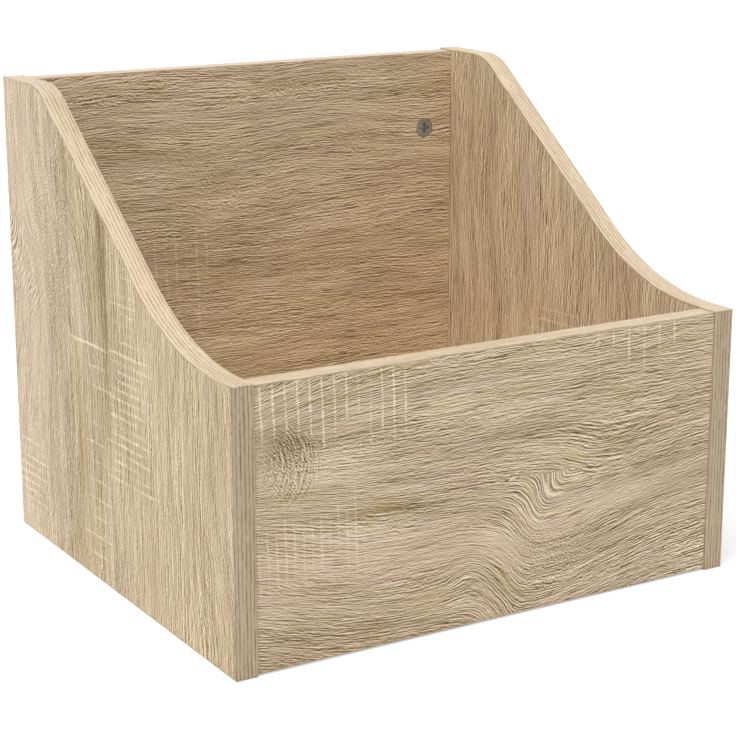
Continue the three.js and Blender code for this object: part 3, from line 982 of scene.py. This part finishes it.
class STAND_OT_edge_bands(bpy.types.Operator):
    """Make the twelve edge bands"""

    bl_idname = "stand.edge_bands"
    bl_label = "Edge bands"

    def execute(self, context):
        band = context.scene.stand_bands
        curve, curve_normals = side_curve(band.arc_steps)
        # each rim of a side panel: a path from the front edge and the foot, and its outward normals
        rims = {
            "top": (curve, curve_normals),
            "front": ([[0.0, BAND_STOP], [0.0, FRONT_HEIGHT - BAND_STOP]], [[-1.0, 0.0]] * 2),
            "back": ([[DEPTH, BACK_HEIGHT - BAND_STOP], [DEPTH, BAND_STOP]], [[1.0, 0.0]] * 2),
            "bottom": ([[DEPTH, 0.0], [0.0, 0.0]], [[0.0, -1.0]] * 2),
        }
        # the strips on the front edges get a painted shade: the same band made darker than the rest, so
        # the upper strips look more brightly lit and glossier
        tones = {"front": -0.12}
        count = 0
        for side in ("left", "right"):
            centre, _ = middle(f"{side}_side_panel")
            for kind, (path, normals) in rims.items():
                node = f"{side}_side_{kind}_band"
                spots = np.insert(np.array(path) - [DEPTH / 2, 0.0], 0, centre[0], axis=1)
                out = np.insert(np.array(normals), 0, 0.0, axis=1)
                count += 1
                material = edge_band(f"band_{node}", 50.0 * count, tones.get(kind, 0.0))
                band_piece(f"{node}_strip", spots, out, np.array([1.0, 0.0, 0.0]), material, band, node)
        for panel in ("front_panel", "back_panel"):
            for kind, up in (("top", 1.0), ("bottom", -1.0)):
                node = f"{panel}_{kind}_band"
                centre, lengths = middle(node)
                # from right to left on top and from left to right below, along the outer face
                half = np.array([up * lengths[0] / 2, 0.0, 0.0])
                outer = centre + [0.0, 0.0, up * lengths[2] / 2]
                spots = np.stack([outer + half, outer - half])
                out = np.array([[0.0, 0.0, up]] * 2)
                count += 1
                material = edge_band(f"band_{node}", 50.0 * count, 0.0)
                band_piece(f"{node}_strip", spots, out, np.array([0.0, 1.0, 0.0]), material, band, node)
        return {"FINISHED"}


class STAND_OT_cam_housings(bpy.types.Operator):
    """Make the ten cam housings"""

    bl_idname = "stand.cam_housings"
    bl_label = "Cam housings"

    def execute(self, context):
        zinc = metal("die_cast_zinc", linear(150, 152, 154), linear(186, 187, 188), 0.42, 0.25)
        housing = cam_housing()
        points = np.zeros(len(housing.vertices) * 3)
        housing.vertices.foreach_get("co", points)
        points = points.reshape(-1, 3)
        faces = [list(f.vertices) for f in housing.polygons]
        mouths = {"front": (0, 1, 0), "back": (0, -1, 0), "bottom": (0, 0, -1)}
        for node in fittings("_cam"):
            centre, _ = middle(node)
            mouth = np.array(mouths[node.split("_")[0]], float)
            along = np.array([-np.sign(centre[0]), 0.0, 0.0])
            origin = centre - (HOUSING_FACE + HOUSING_FOOT) / 2 * mouth
            x_axis = np.cross(along, mouth)
            spots = placed(points, origin, x_axis, along)
            piece = new_piece(f"{node}_housing", spots, faces, zinc, "die_cast_zinc", node)
            smooth(piece, 30)
        return {"FINISHED"}


class STAND_OT_cam_bolts(bpy.types.Operator):
    """Make the ten cam bolts with their threads"""

    bl_idname = "stand.cam_bolts"
    bl_label = "Cam bolts"

    def execute(self, context):
        steel = metal("plated_steel", linear(188, 186, 178), linear(216, 214, 206), 0.28, 0.15)
        rings = cam_bolt_rings(context.scene.stand_fittings)
        faces = tube_faces(len(rings), rings.shape[1])
        for node in fittings("_cam_bolt"):
            centre, _ = middle(node)
            along = np.array([-np.sign(centre[0]), 0.0, 0.0])
            origin = centre - (BOLT_END + BOLT_TIP) / 2 * along
            x_axis = np.array([0.0, 0.0, 1.0])
            spots = placed(with_fans(rings), origin, x_axis, np.cross(along, x_axis))
            piece = new_piece(f"{node}_turned", spots, faces, steel, "plated_steel", node)
            smooth(piece, 35)
        return {"FINISHED"}


class STAND_OT_dowels(bpy.types.Operator):
    """Make the fourteen fluted dowels"""

    bl_idname = "stand.dowels"
    bl_label = "Dowels"

    def execute(self, context):
        rings = dowel_rings(context.scene.stand_fittings)
        faces = tube_faces(len(rings), rings.shape[1])
        # one beech for the dowels that lie along X, and one for those along Y
        woods = {0: beech("beech_across", "X"), 1: beech("beech_deep", "Y")}
        for node in fittings("_dowel"):
            centre, lengths = middle(node)
            axis = int(np.argmax(lengths))
            along = np.eye(3)[axis] * -np.sign(centre[axis])
            origin = centre - (DOWEL_TIP + DOWEL_FOOT) / 2 * along
            x_axis = np.array([0.0, 0.0, 1.0])
            spots = placed(with_fans(rings), origin, x_axis, np.cross(along, x_axis))
            piece = new_piece(f"{node}_fluted", spots, faces, woods[axis], "beech", node)
            smooth(piece, 50)
        return {"FINISHED"}


class STAND_OT_stage(bpy.types.Operator):
    """Make the floor, the lights and the camera"""

    bl_idname = "stand.stage"
    bl_label = "Stage"

    def execute(self, context):
        stage = context.scene.stand_stage
        # metres from the middle to each side
        reach = 30.0
        corners = [(-reach, -reach, 0), (reach, -reach, 0), (reach, reach, 0), (-reach, reach, 0)]
        mesh = bpy.data.meshes.new("floor")
        mesh.from_pydata(corners, [], [(0, 1, 2, 3)])
        mesh.materials.append(floor_material(stage.floor_colour))
        floor = bpy.data.objects.new("floor", mesh)
        context.scene.collection.objects.link(floor)
        light_world(stage.ambient)
        key_lamp(stage.softness, stage.key)
        context.scene.camera = camera()
        context.scene.view_settings.view_transform = "Standard"
        return {"FINISHED"}


def seen_directly(p):
    """1 for a ray from the camera, in a mirror or through glass, and 0 for one that only lights."""
    node = p.node("ShaderNodeLightPath")
    kinds = ("Camera", "Glossy", "Transmission")
    camera, glossy, transmission = (Wire(p, node.outputs[f"Is {kind} Ray"]) for kind in kinds)
    return (camera + glossy + transmission).least(1.0)


def floor_material(colour):
    """A pale floor that looks white where it is fully lit and keeps a soft shadow.

    What is seen of it is a grey plus a glow, so a shadow only takes the grey's share of the light.
    The stand is lit by a floor of the given colour.
    """
    grey, glow_strength = 0.42, 0.55
    p = new_pattern("pale_floor")
    bounce = p.wire("ShaderNodeBsdfDiffuse", None, {"Color": colour})
    shade = p.wire("ShaderNodeBsdfDiffuse", None, {"Color": (grey, grey, grey, 1)})
    glow = p.wire("ShaderNodeEmission", None, {"Color": (1, 1, 1, 1), "Strength": glow_strength})
    shown = p.wire("ShaderNodeAddShader", None, {0: shade, 1: glow})
    both = p.wire("ShaderNodeMixShader", None, {0: seen_directly(p), 1: bounce, 2: shown})
    p.node("ShaderNodeOutputMaterial", None, {"Surface": both})
    return p.owner


def light_world(strength):
    """Even light from all round, which the camera sees as white."""
    world = bpy.data.worlds.new("studio")
    bpy.context.scene.world = world
    p = Pattern(world)
    seen = seen_directly(p)
    even = p.wire("ShaderNodeBackground", None, {"Color": (1, 1, 1, 1), "Strength": strength})
    white = p.wire("ShaderNodeBackground", None, {"Color": (1, 1, 1, 1), "Strength": 1.0})
    both = p.wire("ShaderNodeMixShader", None, {0: seen, 1: even, 2: white})
    p.node("ShaderNodeOutputWorld", None, {"Surface": both})


def key_lamp(softness, strength):
    """A soft lamp so far off that its light is even, from the upper left.

    It gives a face that is turned straight to it `strength` times the face's colour.
    """
    data = bpy.data.lights.new("key", "SUN")
    data.angle = softness
    data.energy = strength * math.pi
    lamp = bpy.data.objects.new("key", data)
    bpy.context.scene.collection.objects.link(lamp)
    way = Vector((-0.33, -0.195, 0.92)).normalized()
    lamp.location = way * 3.0
    lamp.rotation_euler = way.to_track_quat("Z", "Y").to_euler()


def camera():
    """The photograph's viewing angle: turned 31 degrees to the left side and 15 degrees down."""
    focal_pixels, photo_pixels = 2012.0, 736.0
    data = bpy.data.cameras.new("camera")
    data.sensor_width = 36.0
    data.lens = data.sensor_width * focal_pixels / photo_pixels
    data.clip_end = 200.0
    eye = bpy.data.objects.new("camera", data)
    bpy.context.scene.collection.objects.link(eye)
    eye.location = (-0.6942, -1.1540, 0.4913)
    yaw, pitch = math.radians(31.23), math.radians(15.06)
    way = Vector((math.sin(yaw) * math.cos(pitch), math.cos(yaw) * math.cos(pitch), -math.sin(pitch)))
    eye.rotation_euler = way.to_track_quat("-Z", "Y").to_euler()
    return eye


class STAND_PT_tools(bpy.types.Panel):
    """The stand's tools in the sidebar"""

    bl_idname = "STAND_PT_tools"
    bl_label = "Record storage stand"
    bl_space_type = "VIEW_3D"
    bl_region_type = "UI"
    bl_category = "Stand"

    def draw(self, context):
        for step in STEPS:
            self.layout.operator(step.bl_idname)


SETTINGS = {
    "stand_oak": OakSettings,
    "stand_bands": BandSettings,
    "stand_fittings": FittingSettings,
    "stand_stage": StageSettings,
}
STEPS = (
    STAND_OT_dress_boards,
    STAND_OT_edge_bands,
    STAND_OT_cam_housings,
    STAND_OT_cam_bolts,
    STAND_OT_dowels,
    STAND_OT_stage,
)
CLASSES = (*SETTINGS.values(), *STEPS, STAND_PT_tools)


def register():
    """Makes the settings, operators and panel known to Blender."""
    for cls in CLASSES:
        bpy.utils.register_class(cls)
    for name, group in SETTINGS.items():
        setattr(bpy.types.Scene, name, PointerProperty(type=group))


def unregister():
    """Takes them away again."""
    for name in SETTINGS:
        delattr(bpy.types.Scene, name)
    for cls in reversed(CLASSES):
        bpy.utils.unregister_class(cls)


def main():
    register()
    for step in STEPS:
        group, name = step.bl_idname.split(".")
        getattr(getattr(bpy.ops, group), name)()


if __name__ == "__main__":
    main()
